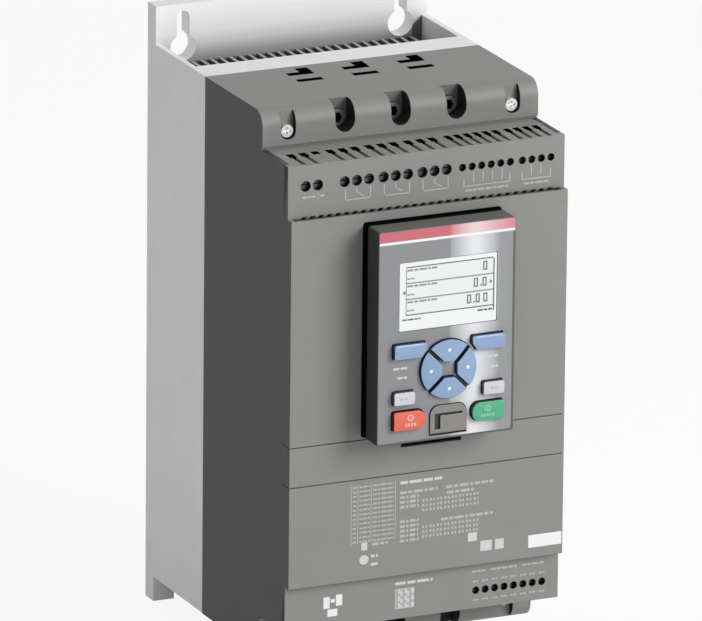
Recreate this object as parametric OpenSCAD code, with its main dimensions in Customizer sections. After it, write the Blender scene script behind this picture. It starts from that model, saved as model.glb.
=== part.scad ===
// Three-phase soft starter on a finned heat sink, with a pull-off operator keypad.
// +X is to the right, -Y out of the wall towards the operator, +Z up.
// The origin is the centre of the mounting plate's back face. Depths are counted from the wall.

/* [Overall] */
// Width of the heat sink, the housing and the covers
unit_w = 150; // [148:1:170]
// Height of the mounting plate
plate_h = 314; // [310:1:330]
// Wall of the moulded housing and covers
wall = 2.5; // [2:0.1:3]
// Clearance between pieces that fit into each other
fit = 0.3; // [0.2:0.05:0.4]

/* [Mounting plate and heat sink] */
// Thickness of the mounting plate
plate_t = 10; // [8:0.5:12]
// Plate left free above the body
top_ear = 20; // [18:1:24]
// Plate left free below the heat sink
bottom_ear = 13; // [12:1:20]
// Distance between the left and the right fixing holes
mount_spacing = 120; // [112:1:124]
// Width of the fixing slots
mount_slot_w = 7; // [6:0.5:8]
// Round opening of the keyholes
keyhole_d = 14; // [12:0.5:15]
// Distance from the plate's end to the seat of a fixing screw
mount_seat = 7; // [6:0.5:9]
// Drop from the seat of a keyhole to its round opening
keyhole_drop = 15.7; // [13:0.1:17]
// Depth of the heat sink in front of the plate
sink_depth = 61.5; // [56:0.5:70]
// Solid base behind the power modules
base_t = 18.5; // [12:0.5:22]
// Side wall of the heat sink
sink_wall = 3; // [2:0.5:5]
// Thickness of a cooling fin
fin_t = 1.8; // [1.2:0.1:2.4]
// Pitch of the cooling fins
fin_pitch = 5.25; // [4.5:0.05:7]
// How far the fins end below the top of the base
fin_recess = 10.5; // [8:0.5:20]

/* [Fans] */
// Free height below the fins for the fan tray
fan_bay_h = 24; // [22:0.5:30]
// Diameter of a fan wheel
fan_d = 37; // [30:0.5:40]
// Distance from the unit's side to a fan's axis
fan_inset = 39; // [36:0.5:42]
// Air gap between a fan wheel and its duct
fan_gap = 1; // [0.6:0.1:1.5]
// Hub of a fan wheel
fan_hub_d = 18; // [14:0.5:22]
// Shaft of a fan
fan_shaft_d = 3; // [2.5:0.1:4]
// Radial running clearance of a fan on its shaft
shaft_clear = 0.05; // [0.02:0.01:0.09]
// Blades on each fan wheel
fan_blades = 7; // [5:1:9]
// Height of a fan wheel
fan_wheel_h = 11; // [9:0.5:13]

/* [Housing] */
// How far the housing hangs below the heat sink
bottom_drop = 0.3; // [0:0.1:4]
// Depth of the housing under the terminal covers
cover_depth = 70; // [66:0.5:78]
// Depth of the control terminal ledges in front of the terminal covers
ledge_depth = 31; // [28:0.5:36]
// Step from the terminal blocks out to the front cover
front_step = 4.5; // [4:0.1:7]
// Depth of the rim that carries the front covers
rim_depth = 9; // [8:0.5:11]
// Drop from the body's ends to the decks that carry the power terminals
deck_drop = 37; // [34:0.5:40]

/* [Terminal covers] */
// Height of the line terminal cover's front face
line_face_h = 19.5; // [18:0.5:24]
// Height of the motor terminal cover's front face
motor_face_h = 20.5; // [18:0.1:26]
// Rounding of the covers' outer edges
cover_r = 8; // [5:0.5:10]
// Distance between the phases
phase_pitch = 30.3; // [29:0.1:34]
// Width of a tool access slot
access_w = 10.6; // [9:0.1:12]
// Height of a tool access slot
access_h = 14.5; // [12:0.1:15]
// Width of a cable entry
cable_w = 13.8; // [13:0.1:14]
// Offset of a cable entry to the right of its phase
cable_shift = 1.1; // [0:0.1:1.1]
// Depth of the rear cable entry
rear_entry = 4.8; // [4.5:0.1:5.4]
// Depth of the front cable entry
front_entry = 4.5; // [4.3:0.1:5]
// Distance between the cover screws
cover_screw_spacing = 122; // [118:0.5:126]
// Width of a cover screw's groove
groove_w = 8; // [7.5:0.1:9]
// Head diameter of a cover screw
cover_screw_head = 6.5; // [6:0.1:7]

/* [Control terminals] */
// Height of the upper terminal block's face
upper_block_h = 27.1; // [25:0.1:30]
// Height of the lower terminal block's face
lower_block_h = 24.5; // [22:0.1:28]
// Drop from the ledge to the screw wells
well_drop = 10.8; // [9:0.1:13]
// Rise from the lower ledge to its screw wells
well_rise = 9.4; // [9:0.1:12]
// Diameter of a relay terminal's screw well
large_well_d = 5.5; // [5:0.1:5.9]
// Pitch of the relay terminals
large_pitch = 6.6; // [6.4:0.1:6.8]
// Distance between groups of relay terminals
large_group = 21; // [20.5:0.1:21]
// Distance from the left side to the first relay terminal
large_margin = 9.5; // [8:0.1:11]
// Diameter of a signal terminal's screw well
small_well_d = 3.9; // [3.4:0.1:4.2]
// Pitch of the signal terminals
small_pitch = 5.2; // [5:0.1:5.4]
// Distance from the right side to the last signal terminal
small_margin = 7.5; // [6:0.1:9]
// Depth of a screw well
well_depth = 12; // [9:0.5:13.5]
// Width of a relay terminal's conductor pocket
large_pocket_w = 3.9; // [3:0.1:3.9]
// Width of a signal terminal's conductor pocket
small_pocket_w = 3.2; // [2.4:0.1:3.2]
// Length of a conductor pocket
pocket_l = 6.5; // [5:0.1:6.5]
// Width of the groove that leads into a conductor pocket
lead_w = 2.1; // [1.2:0.1:2.2]

/* [Front covers] */
// Thickness of the covers' faces
face_t = 2.5; // [2:0.1:3]
// Height of the band between the two seams
band_h = 20.6; // [18:0.1:24]
// Joint between the front covers
seam = 0.5; // [0.3:0.1:0.8]
// Width of a vent slot
vent_w = 2.8; // [2.4:0.1:3.4]
// Pitch of the vent slots
vent_pitch = 4.6; // [4.2:0.1:5.5]
// Width of the keypad's release recess
latch_w = 33; // [28:0.5:38]
// Height of the release recess below the seam
latch_h = 6.6; // [5:0.1:9]

/* [Keypad] */
// Width of the keypad
keypad_w = 74.2; // [74:0.1:82]
// Height of the keypad
keypad_h = 110.1; // [108:0.1:116]
// Offset of the keypad to the right of the middle
keypad_x = 1.2; // [-3:0.1:3]
// Gap from the front cover's top to the keypad
keypad_top_gap = 4.9; // [4.9:0.1:8]
// How far the keypad stands out of the front cover
keypad_proud = 18; // [17:0.1:22]
// Depth of the keypad in its bay
keypad_seat = 16.2; // [14:0.1:18]
// How far the keypad's black rear shell shows
shell_proud = 5.2; // [3:0.1:7]
// Corner radius of the keypad
keypad_r = 1.2; // [1:0.1:2]
// Wall of the keypad's shells
keypad_wall = 2; // [1.6:0.1:2.4]
// Thickness of the keypad's front overlay
overlay_t = 0.4; // [0.3:0.05:0.6]
// Margin of the overlay to the keypad's edge
overlay_margin = 0.3; // [0.2:0.1:1.5]
// Width of the display window
window_w = 52.6; // [48:0.1:56]
// Drop from the keypad's top to the display window
window_drop = 17; // [14:0.1:18]
// Height of the field below the window that holds the keys
key_field_h = 58.1; // [57:0.1:60]
// Clearance of the keypad in its bay
bay_clear = 0.5; // [0.4:0.05:0.7]

/* [Keys] */
// How far the keys stand out of the overlay
key_proud = 3; // [2.4:0.1:3.4]
// Travel of a key
key_travel = 0.9; // [0.6:0.05:1]
// Clearance round a key
key_clear = 0.45; // [0.3:0.05:0.5]
// Flange that holds a key behind the bezel
key_flange = 0.85; // [0.75:0.05:0.85]
// Radius of the round four-way key group
dpad_r = 15; // [14:0.1:15.4]
// Gap between neighbouring keys of the group
dpad_gap = 2; // [1.9:0.1:2.6]
// Open square in the middle of the group
dpad_hub = 8.4; // [7:0.1:10]
// Rise from the keypad's lower edge to the group's centre
dpad_rise = 36.5; // [36:0.1:37.5]
// Offset of the keys and the display to the right of the keypad's middle
key_shift = 0.7; // [0:0.1:1]
// Distance from the group's centre to the outer end of the side keys
side_key_x = 29.9; // [29:0.1:30.5]
// Height of a soft key
soft_key_h = 7.4; // [7:0.1:8]
// Width of a small key
small_key_w = 11.2; // [10:0.1:12]
// Height of a small key
small_key_h = 6.5; // [6:0.1:7]
// Width of the start and stop keys
run_key_w = 17.2; // [16:0.1:17.4]
// Height of the start and stop keys
run_key_h = 9.6; // [9:0.1:10]
// Width of the service port's flap
flap_w = 20; // [18:0.1:21]
// Height of the service port's flap
flap_h = 14.8; // [14:0.1:15]
// Hinge pin of the flap
flap_pin_d = 1.2; // [1:0.1:1.3]

/* [Power parts] */
// Width of a power module
module_w = 27; // [24:0.5:28]
// Height of a power module
module_h = 90; // [80:1:94]
// Depth of a bypass contactor
contactor_depth = 54.5; // [48:0.5:56]
// Width of a busbar
busbar_w = 14; // [12:0.5:14.5]
// Thickness of a busbar
busbar_t = 5; // [4:0.1:5.4]
// Diameter of a lug's clamping screw
lug_screw_d = 9; // [8:0.1:10]
// Thickness of the circuit boards
board_t = 1.6; // [1.2:0.1:2]

/* [Hidden] */
$fn = 48;
half_w = unit_w / 2;
inner_x = half_w - wall;
// Heights
body_top = plate_h / 2 - top_ear;
sink_bottom = -plate_h / 2 + bottom_ear;
body_bottom = sink_bottom - bottom_drop;
upper_ledge = body_top - line_face_h;
lower_ledge = body_bottom + motor_face_h;
front_top = upper_ledge - upper_block_h;
front_bottom = lower_ledge + lower_block_h;
keypad_z = front_top - keypad_top_gap - keypad_h / 2;
// Front cover left below the keypad's bay
bay_sill = 1;
upper_seam = keypad_z - keypad_h / 2 - bay_clear - bay_sill;
lower_seam = upper_seam - band_h;
// Depths from the wall
sink_d = plate_t + sink_depth;
fin_d = sink_d - base_t;
cover_d = sink_d + cover_depth;
block_d = cover_d + ledge_depth;
front_d = block_d + front_step;
rim_d = front_d - rim_depth;
face_back = front_d - face_t;
keypad_d = front_d + keypad_proud;
key_d = keypad_d + key_proud;
// Cooling
fin_top = body_top - fin_recess;
fin_bottom = sink_bottom + fan_bay_h;
fin_count = floor((unit_w - 2 * sink_wall) / fin_pitch) - 1;
fan_x = half_w - fan_inset;
fan_depth = (plate_t + fin_d) / 2;
tray_wall_gap = 0.3;
tray_h = fan_bay_h - 2.5;
spider_t = 3;
strut_w = 3;
wheel_gap = 0.4;
blade_t = 1.2;
blade_chord = 11;
blade_tilt = 38;
// Power terminals, counted down from the ends of the body
phases = [-phase_pitch, 0, phase_pitch];
lug_top = 6;
lug_w = 20;
lug_wall = 2;
lug_back = sink_d + wall + 4;
lug_cavity_d = lug_back + 3;
lug_front_wall = lug_cavity_d + 26.5;
lug_front = lug_front_wall + 10;
rear_entry_d = lug_cavity_d + 1;
busbar_d = rear_entry_d + rear_entry + 1;
front_entry_d = busbar_d + busbar_t + 1.2;
clamp_foot_d = front_entry_d + front_entry + 0.6;
clamp_foot_t = 2.5;
lug_screw_drop = 10;
screw_head_d = cover_d - 10;
notch_w = 6.5;
notch_shift = 4;
notch_depth = 6.5;
access_depth = 10.5;
access_wall = 1.6;
groove_depth = 4;
groove_floor = cover_d - groove_depth;
cover_screw_drop = 11.3;
cover_screw_d = 3.5;
cover_screw_l = 19.5;
head_t = 2.5;
boss_margin = 2.2;
foot_groove_h = 1.4;
foot_groove_d = 1.2;
post_front = cover_d - 14;
post_depth = 15;
// Control terminals
block_back = post_front + 0.5;
pocket_back = cover_d + 10.5;
pocket_depth = 14;
spare_pocket_l = 5;
lead_depth = 3;
lead_end = block_d - 0.5;
screw_recess = 3.2;
terminal_screw_t = well_depth - screw_recess;
terminal_slot = 0.8;
large_x = [for (g = [0:3]) for (i = [0:(g == 0 ? 1 : 2)])
    -half_w + large_margin + g * large_group + i * large_pitch];
right_x = half_w - small_margin;
small_x = [for (i = [0:3]) right_x - i * small_pitch, for (i = [0:5]) right_x - 22.2 - i * small_pitch];
lower_x = [for (i = [0:7]) right_x - 1.5 - i * small_pitch];
spare_x = -half_w + large_margin + 2 * large_pitch;
// Vents between the upper terminal block and the front cover's lip
vent_n = floor((unit_w - 14) / vent_pitch) + 1;
vent_h = 0.6;
vent_depth = 7;
vent_shift = 0.7;
lip_t = 1.6;
lip_drop = 1.5;
lip_set = 2;
// Boards and rails
control_d = front_d - 29;
firing_d = control_d - 11;
rail_t = 1.8;
rail_w = 5;
control_top = front_top - 4;
control_bottom = front_bottom + 4;
firing_top = control_top - 7;
firing_bottom = control_bottom + 10;
// Larger components on the boards
firing_front = firing_d + board_t - 0.1;
control_front = control_d + board_t - 0.1;
driver_w = 18;
driver_h = 22;
driver_t = 6;
driver_drop = 45;
snubber = 12;
part_inset = 10;
part_drop = 24;
relay_w = 3;
relay_h = 22;
relay_t = 8;
relay_pitch = 4;
cap_d = 9;
cap_t = 12;
cap_pitch = 12;
chip = 24;
chip_t = 4;
header_w = 32;
header_h = 8;
header_t = 7;
header_rise = 3;
// Power parts on the heat sink
module_top = body_top - 59;
module_bottom = module_top - module_h;
module_front = sink_d + 25.5;
pad_d = module_front + 4.5;
pad_h = 24;
module_foot_h = 12;
module_foot_t = 8;
pad_inset = 4;
ct_h = 9;
ct_depth = 24;
ct_r = 4;
ct_top = body_bottom + deck_drop + wall + ct_h;
bar_gap = 6;
low_bend = ct_top + bar_gap / 4;
contactor_top = module_bottom - 13;
contactor_bottom = low_bend + busbar_t + bar_gap;
contactor_d = sink_d + contactor_depth;
contactor_step = 8;
bolt_d = 6;
bolt_head = 10;
bolt_head_t = 4;
bolt_clear = 0.2;
// Keypad
bay_floor = front_d - keypad_seat - fit;
bay_back = bay_floor - wall;
bay_wall = 1.6;
shell_back = front_d - keypad_seat;
shell_front = front_d + shell_proud;
bezel_front = keypad_d - overlay_t;
bezel_t = 2.2;
bezel_back = bezel_front - bezel_t;
flange_t = 1.3;
flange_front = bezel_back - 0.3;
key_back = flange_front - 2.4;
dome_front = key_back - key_travel - 0.3;
mat_t = 0.8;
lcd_t = 6;
board_front = bezel_back - 0.1 - lcd_t;
board_back = board_front - board_t;
post_d = 5;
post_inset = 7.5;
window_h = keypad_h - window_drop - key_field_h;
window_z = keypad_h / 2 - window_drop - window_h / 2;
dpad_z = -keypad_h / 2 + dpad_rise;
soft_key_w = 17.5;
soft_key_z = dpad_z + dpad_r + 0.4 - soft_key_h / 2;
small_key_z = dpad_z - 12.35;
run_key_z = dpad_z - 24.1;
run_end_r = 4.4;
key_r = 1.1;
key_crown_r = 22;
dpad_crown_r = 95;
flap_r = 5;
flap_x = 0.6;
flap_bottom = -keypad_h / 2 + 3;
flap_pin_rise = 1.6;
flap_pin_z = flap_bottom + flap_pin_rise;
flap_pin_depth = bezel_front - 0.95;
flap_front = keypad_d + 0.7;
flap_back = bezel_back + 0.2;
flap_hinge_gap = 0.8;
flap_barrel_r = flap_pin_rise + flap_hinge_gap - fit;
flap_pin_l = 1.5;
grip_w = 15;
grip_h = 8;
grip_side = 3.1;
grip_top = 1.1;
grip_depth = 1.2;
grip_rise = 2.6;
pin_clear = 0.05;
jack_w = 16;
jack_h = 13;
jack_wall = 2;
jack_z = -18;

// Colours
aluminium = [0.78, 0.78, 0.79];
dark_grey = [0.32, 0.32, 0.31];
cover_grey = [0.55, 0.55, 0.54];
black_plastic = [0.08, 0.08, 0.08];
olive_grey = [0.24, 0.25, 0.23];
silver_film = [0.66, 0.67, 0.68];
key_blue = [0.58, 0.69, 0.85];
light_key = [0.84, 0.84, 0.88];
stop_red = [0.86, 0.29, 0.22];
start_green = [0.16, 0.62, 0.45];
flap_grey = [0.46, 0.44, 0.41];
copper = [0.78, 0.50, 0.34];
steel = [0.72, 0.72, 0.74];
board_green = [0.10, 0.36, 0.24];
white_panel = [0.95, 0.96, 0.96];

// Prism along the depth: an (x, z) outline from depth d0 to depth d1
module slab(d0, d1) {
    translate([0, -d0, 0]) rotate([90, 0, 0]) linear_extrude(d1 - d0) children();
}

// Prism along the height: an (x, depth) outline from z0 to z1
module tier(z0, z1) {
    translate([0, 0, z0]) linear_extrude(z1 - z0) mirror([0, 1]) children();
}

// Prism across the width: a (depth, z) outline from x0 to x1
module across(x0, x1) {
    translate([x0, 0, 0]) rotate([90, 0, 90]) linear_extrude(x1 - x0) mirror([1, 0]) children();
}

module rect(x0, x1, y0, y1) {
    translate([x0, y0]) square([x1 - x0, y1 - y0]);
}

module brick(x0, x1, d0, d1, z0, z1) {
    translate([x0, -d1, z0]) cube([x1 - x0, d1 - d0, z1 - z0]);
}

// Round bar along the depth
module bar(x, z, d0, d1, diameter) {
    translate([x, -d0, z]) rotate([90, 0, 0]) cylinder(d = diameter, h = d1 - d0);
}

module round_rect(w, h, r) {
    square([w - 2 * r, h], center = true);
    square([w, h - 2 * r], center = true);
    for (sx = [-1, 1], sy = [-1, 1])
        translate([sx * (w / 2 - r), sy * (h / 2 - r)]) circle(r);
}

// Groove with a round foot at a drop below the cover's end, open at its top
module open_groove(x, w, drop) {
    rect(x - w / 2, x + w / 2, -drop, 1);
    translate([x, -drop]) circle(d = w);
}

// Places children at the line end (side 1) or mirrored at the motor end (side -1), z counted from the end
module at_end(side) {
    translate([0, 0, side > 0 ? body_top : body_bottom]) mirror([0, 0, side > 0 ? 0 : 1]) children();
}

// Heat sink: extruded section with the mounting plate left standing at both ends
module keyhole(x) {
    seat_z = plate_h / 2 - mount_seat;
    translate([x, seat_z - keyhole_drop]) circle(d = keyhole_d);
    translate([x, seat_z]) circle(d = mount_slot_w);
    rect(x - mount_slot_w / 2, x + mount_slot_w / 2, seat_z - keyhole_drop, seat_z);
}

module open_slot(x) {
    seat_z = -plate_h / 2 + mount_seat;
    translate([x, seat_z]) circle(d = mount_slot_w);
    rect(x - mount_slot_w / 2, x + mount_slot_w / 2, -plate_h / 2 - 1, seat_z);
}

module heat_sink() {
    color(aluminium) {
        difference() {
            union() {
                slab(0, plate_t) square([unit_w, plate_h], center = true);
                tier(sink_bottom, body_top) {
                    rect(-half_w, -half_w + sink_wall, plate_t - 1, sink_d);
                    rect(half_w - sink_wall, half_w, plate_t - 1, sink_d);
                    rect(-half_w, half_w, fin_d, sink_d);
                }
                tier(fin_bottom, fin_top)
                    for (i = [0:fin_count - 1])
                        translate([(i - (fin_count - 1) / 2) * fin_pitch, 0])
                            rect(-fin_t / 2, fin_t / 2, plate_t - 1, fin_d + 1);
            }
            slab(-1, plate_t)
                for (side = [-1, 1]) {
                    keyhole(side * mount_spacing / 2);
                    open_slot(side * mount_spacing / 2);
                }
            for (x = phases, z = [module_top - module_foot_h / 2, module_bottom + module_foot_h / 2])
                bar(x, z, sink_d - 8, sink_d + 1, bolt_d);
        }
    }
}

// Fans: a tray in the free bay under the fins with two ducts, and a wheel on a shaft in each
module fan_tray() {
    tray_x = half_w - sink_wall - tray_wall_gap;
    z0 = sink_bottom;
    color(black_plastic) {
        difference() {
            brick(-tray_x, tray_x, plate_t + tray_wall_gap, fin_d - tray_wall_gap, z0, z0 + tray_h);
            for (side = [-1, 1])
                translate([side * fan_x, -fan_depth, z0 - 1])
                    cylinder(d = fan_d + 2 * fan_gap, h = tray_h + 2);
        }
        for (side = [-1, 1])
            translate([side * fan_x, -fan_depth, z0]) {
                cylinder(d = fan_hub_d, h = spider_t);
                cylinder(d = fan_shaft_d, h = spider_t + wheel_gap + fan_wheel_h - 2.5);
                for (a = [90, 210, 330])
                    rotate([0, 0, a]) translate([0, -strut_w / 2, 0])
                        cube([fan_d / 2 + fan_gap + 0.5, strut_w, spider_t]);
            }
    }
}

module fan_wheel(side) {
    color(black_plastic)
        translate([side * fan_x, -fan_depth, sink_bottom + spider_t + wheel_gap])
            difference() {
                intersection() {
                    cylinder(d = fan_d, h = fan_wheel_h);
                    union() {
                        cylinder(d = fan_hub_d, h = fan_wheel_h);
                        for (i = [0:fan_blades - 1])
                            rotate([0, 0, i * 360 / fan_blades])
                                translate([fan_d / 4, 0, fan_wheel_h / 2])
                                    rotate([blade_tilt, 0, 0])
                                        cube([fan_d / 2 + 2, blade_chord, blade_t], center = true);
                    }
                }
                translate([0, 0, -1])
                    cylinder(d = fan_shaft_d + 2 * shaft_clear, h = fan_wheel_h - 1);
            }
}

module fan_wheel_left() {
    fan_wheel(-1);
}

module fan_wheel_right() {
    fan_wheel(1);
}

// Housing: side cheeks, rear frame, the two terminal decks, screw posts and board rails
module board_rails(d0, z0, z1) {
    for (side = [-1, 1]) {
        x_in = side > 0 ? inner_x - rail_w : -inner_x - wall / 2;
        x_out = side > 0 ? inner_x + wall / 2 : -inner_x + rail_w;
        brick(x_in, x_out, d0 - fit - rail_t, d0 - fit, z0, z1);
        brick(x_in, x_out, d0 + board_t + fit, d0 + board_t + fit + rail_t, z0, z1);
    }
}

// Deck with its insulating back wall and its two screw posts, z counted down from the body's end
module terminal_deck() {
    deck_x = inner_x + wall / 2;
    back_x = inner_x - fit;
    difference() {
        brick(-deck_x, deck_x, sink_d, block_back, -deck_drop - wall, -deck_drop);
        for (x = phases)
            brick(x - busbar_w / 2 - 1.5, x + busbar_w / 2 + 1.5, busbar_d - 1.5, busbar_d + busbar_t + 1.5,
                -deck_drop - wall - 1, -deck_drop + 1);
    }
    brick(-back_x, back_x, sink_d, sink_d + wall, -deck_drop - wall, -wall - fit);
    for (side = [-1, 1])
        difference() {
            translate([side * cover_screw_spacing / 2, 0, 0])
                brick(-5, 5, post_front - post_depth, post_front, -deck_drop - wall / 2,
                    -cover_screw_drop + 5);
            bar(side * cover_screw_spacing / 2, -cover_screw_drop, post_front - post_depth + 2,
                post_front + 1,
                cover_screw_d + 0.1);
        }
}

module housing() {
    color(dark_grey) {
        for (side = [-1, 1])
            brick(side > 0 ? inner_x : -half_w, side > 0 ? half_w : -inner_x, sink_d, rim_d, lower_ledge,
                upper_ledge);
        slab(sink_d, sink_d + wall)
            difference() {
                rect(-half_w, half_w, lower_ledge, upper_ledge);
                rect(-inner_x + 4, inner_x - 4, body_bottom + deck_drop, body_top - deck_drop);
            }
        at_end(1) terminal_deck();
        at_end(-1) terminal_deck();
        board_rails(control_d, control_bottom, control_top);
        board_rails(firing_d, firing_bottom, firing_top);
    }
}

// Terminal covers, z counted down from the body's end
module cover_profile(d0, d1, z0, inset, r) {
    rect(d0, d1 - inset, z0, -inset - r);
    rect(d0, d1 - inset - r, z0, -inset);
    translate([d1 - inset - r, -inset - r]) circle(r);
}

module cable_entries(x) {
    tier(-wall - 1, 1)
        translate([x + cable_shift, 0]) {
            rect(-cable_w / 2, cable_w / 2, rear_entry_d, rear_entry_d + rear_entry);
            rect(notch_shift - notch_w / 2, notch_shift + notch_w / 2, rear_entry_d - notch_depth,
                rear_entry_d + 1);
            rect(-cable_w / 2, cable_w / 2, front_entry_d, front_entry_d + front_entry);
        }
}

// Solid round a tool access slot, and the backing of a cover screw's groove
module tool_pocket(x) {
    brick(x - access_w / 2 - access_wall, x + access_w / 2 + access_wall,
        cover_d - access_depth - access_wall, cover_d,
        -access_h - access_wall, 0);
}

module screw_boss(x) {
    half = groove_w / 2 + boss_margin;
    brick(x - half, x + half, groove_floor - wall, cover_d, -cover_screw_drop - half, 0);
}

module terminal_cover(face_h) {
    difference() {
        intersection() {
            across(-half_w, half_w) cover_profile(sink_d, cover_d, -face_h, 0, cover_r);
            union() {
                difference() {
                    brick(-half_w, half_w, sink_d, cover_d, -face_h, 0);
                    across(-inner_x, inner_x) cover_profile(sink_d - 1, cover_d, -face_h - 1, wall,
                        cover_r - wall);
                }
                for (x = phases)
                    tool_pocket(x);
                for (side = [-1, 1])
                    screw_boss(side * cover_screw_spacing / 2);
            }
        }
        brick(-half_w - 1, half_w + 1, cover_d - foot_groove_d, cover_d + 1, -face_h - 1,
            -face_h + foot_groove_h);
        for (x = phases) {
            slab(cover_d - access_depth, cover_d + 1)
                open_groove(x, access_w, access_h - access_w / 2);
            bar(x, -lug_screw_drop, cover_d - access_depth - access_wall - 1, cover_d, lug_screw_d + 2 * fit);
            cable_entries(x);
        }
        for (side = [-1, 1]) {
            slab(groove_floor, cover_d + 1)
                open_groove(side * cover_screw_spacing / 2, groove_w, cover_screw_drop);
            bar(side * cover_screw_spacing / 2, -cover_screw_drop, groove_floor - wall - 1, groove_floor + 1,
                cover_screw_d + 2 * fit);
        }
    }
}

module line_terminal_cover() {
    color(cover_grey) at_end(1) terminal_cover(line_face_h);
}

module motor_terminal_cover() {
    color(cover_grey) at_end(-1) terminal_cover(motor_face_h);
}

module cover_screw(x) {
    difference() {
        union() {
            bar(x, -cover_screw_drop, groove_floor, groove_floor + head_t, cover_screw_head);
            bar(x, -cover_screw_drop, groove_floor - cover_screw_l, groove_floor, cover_screw_d);
        }
        for (a = [0, 90])
            translate([x, -groove_floor - head_t, -cover_screw_drop]) rotate([0, a, 0])
                cube([cover_screw_head * 0.6, 2.4, 0.9], center = true);
    }
}

module cover_screws() {
    color(steel)
        for (end = [-1, 1], side = [-1, 1])
            at_end(end) cover_screw(side * cover_screw_spacing / 2);
}

// Power terminals: cage lugs with a clamping screw each, z counted down from the body's end
module lug(x) {
    difference() {
        brick(x - lug_w / 2, x + lug_w / 2, lug_back, lug_front, -deck_drop, -lug_top);
        brick(x - lug_w / 2 + lug_wall, x + lug_w / 2 - lug_wall, lug_cavity_d, lug_front_wall,
            -deck_drop - 1, -lug_top + 1);
        bar(x, -lug_screw_drop, lug_front_wall - 1, lug_front + 1, lug_screw_d + 2 * pin_clear);
        brick(x - lug_w, x + lug_w, lug_front_wall + 1, lug_front + 1, -deck_drop - 1,
            -lug_screw_drop - lug_screw_d);
    }
}

module lug_screw(x) {
    difference() {
        union() {
            bar(x, -lug_screw_drop, clamp_foot_d, screw_head_d, lug_screw_d);
            brick(x - busbar_w / 2, x + busbar_w / 2, clamp_foot_d, clamp_foot_d + clamp_foot_t,
                -deck_drop + 2, -lug_top);
        }
        translate([x, -screw_head_d - 1, -lug_screw_drop]) rotate([-90, 0, 0])
            cylinder(d = lug_screw_d * 0.62, h = 6, $fn = 6);
    }
}

module line_lugs() {
    color(steel) at_end(1) for (x = phases) lug(x);
}

module motor_lugs() {
    color(steel) at_end(-1) for (x = phases) lug(x);
}

module line_lug_screws() {
    color(steel) at_end(1) for (x = phases) lug_screw(x);
}

module motor_lug_screws() {
    color(steel) at_end(-1) for (x = phases) lug_screw(x);
}

// Busbars, as bent strips
module bolt_hole(x, z) {
    bar(x, z, pad_d - 1, pad_d + busbar_t + 1, bolt_d + 2 * bolt_clear);
}

module line_busbars() {
    bend = module_top + bar_gap;
    color(copper)
        for (x = phases)
            difference() {
                across(x - busbar_w / 2, x + busbar_w / 2) {
                    rect(busbar_d, busbar_d + busbar_t, bend, body_top - lug_top - 3);
                    rect(busbar_d, pad_d + busbar_t, bend, bend + busbar_t);
                    rect(pad_d, pad_d + busbar_t, module_top - pad_h, bend + busbar_t);
                }
                bolt_hole(x, module_top - pad_h / 2);
            }
}

module motor_busbars() {
    high_bend = (contactor_top + module_bottom) / 2 - busbar_t / 2;
    color(copper)
        for (x = phases)
            difference() {
                across(x - busbar_w / 2, x + busbar_w / 2) {
                    rect(busbar_d, busbar_d + busbar_t, body_bottom + lug_top + 3, low_bend + busbar_t);
                    rect(busbar_d, contactor_d + busbar_t, low_bend, low_bend + busbar_t);
                    rect(contactor_d, contactor_d + busbar_t, low_bend, high_bend + busbar_t);
                    rect(pad_d, contactor_d + busbar_t, high_bend, high_bend + busbar_t);
                    rect(pad_d, pad_d + busbar_t, high_bend, module_bottom + pad_h);
                }
                bolt_hole(x, module_bottom + pad_h / 2);
            }
}

module busbar_screws() {
    color(steel)
        for (x = phases, z = [module_top - pad_h / 2, module_bottom + pad_h / 2]) {
            bar(x, z, pad_d - 5, pad_d + busbar_t, bolt_d);
            translate([x, -pad_d - busbar_t, z]) rotate([90, 0, 0])
                cylinder(d = bolt_head, h = bolt_head_t, $fn = 6);
        }
}

// Power modules with their terminal pads and their feet screwed to the heat sink
module power_modules() {
    color(black_plastic)
        for (x = phases)
            difference() {
                union() {
                    brick(x - module_w / 2, x + module_w / 2, sink_d, module_front,
                        module_bottom + module_foot_h,
                        module_top - module_foot_h);
                    brick(x - module_w / 2, x + module_w / 2, sink_d, sink_d + module_foot_t,
                        module_bottom, module_top);
                    for (z = [module_bottom + module_foot_h, module_top - pad_h])
                        brick(x - module_w / 2 + pad_inset, x + module_w / 2 - pad_inset, module_front - 1,
                            pad_d,
                            z, z + pad_h - module_foot_h);
                }
                for (z = [module_top - module_foot_h / 2, module_bottom + module_foot_h / 2])
                    bar(x, z, sink_d - 1, sink_d + module_foot_t + 1, bolt_d);
                for (z = [module_top - pad_h / 2, module_bottom + pad_h / 2])
                    bar(x, z, pad_d - 6, pad_d + 1, bolt_d + 0.1);
            }
}

module bypass_contactors() {
    color(dark_grey)
        for (x = phases) {
            brick(x - module_w / 2, x + module_w / 2, sink_d, contactor_d - contactor_step, contactor_bottom,
                contactor_top);
            brick(x - busbar_w / 2, x + busbar_w / 2, contactor_d - contactor_step - 1, contactor_d,
                contactor_bottom + bar_gap, contactor_top - bar_gap);
        }
}

module current_transformers() {
    mid = busbar_d + busbar_t / 2;
    color(black_plastic)
        for (x = phases)
            tier(ct_top - ct_h, ct_top)
                difference() {
                    translate([x, mid]) round_rect(module_w, ct_depth, ct_r);
                    translate([x, mid]) round_rect(busbar_w + 2 * fit, busbar_t + 2 * fit, 0.2);
                }
}

// Control terminal blocks, z counted down from the ledge
module terminal_pocket(x, w) {
    pocket_front = pocket_back + pocket_l;
    brick(x - w / 2, x + w / 2, pocket_back, pocket_front, -pocket_depth, 1);
    across(x - lead_w / 2, x + lead_w / 2)
        polygon([
            [pocket_front - 1, 1], [pocket_front - 1, -lead_depth], [pocket_front, -lead_depth],
            [lead_end, 0], [lead_end, 1]
        ]);
}

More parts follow.
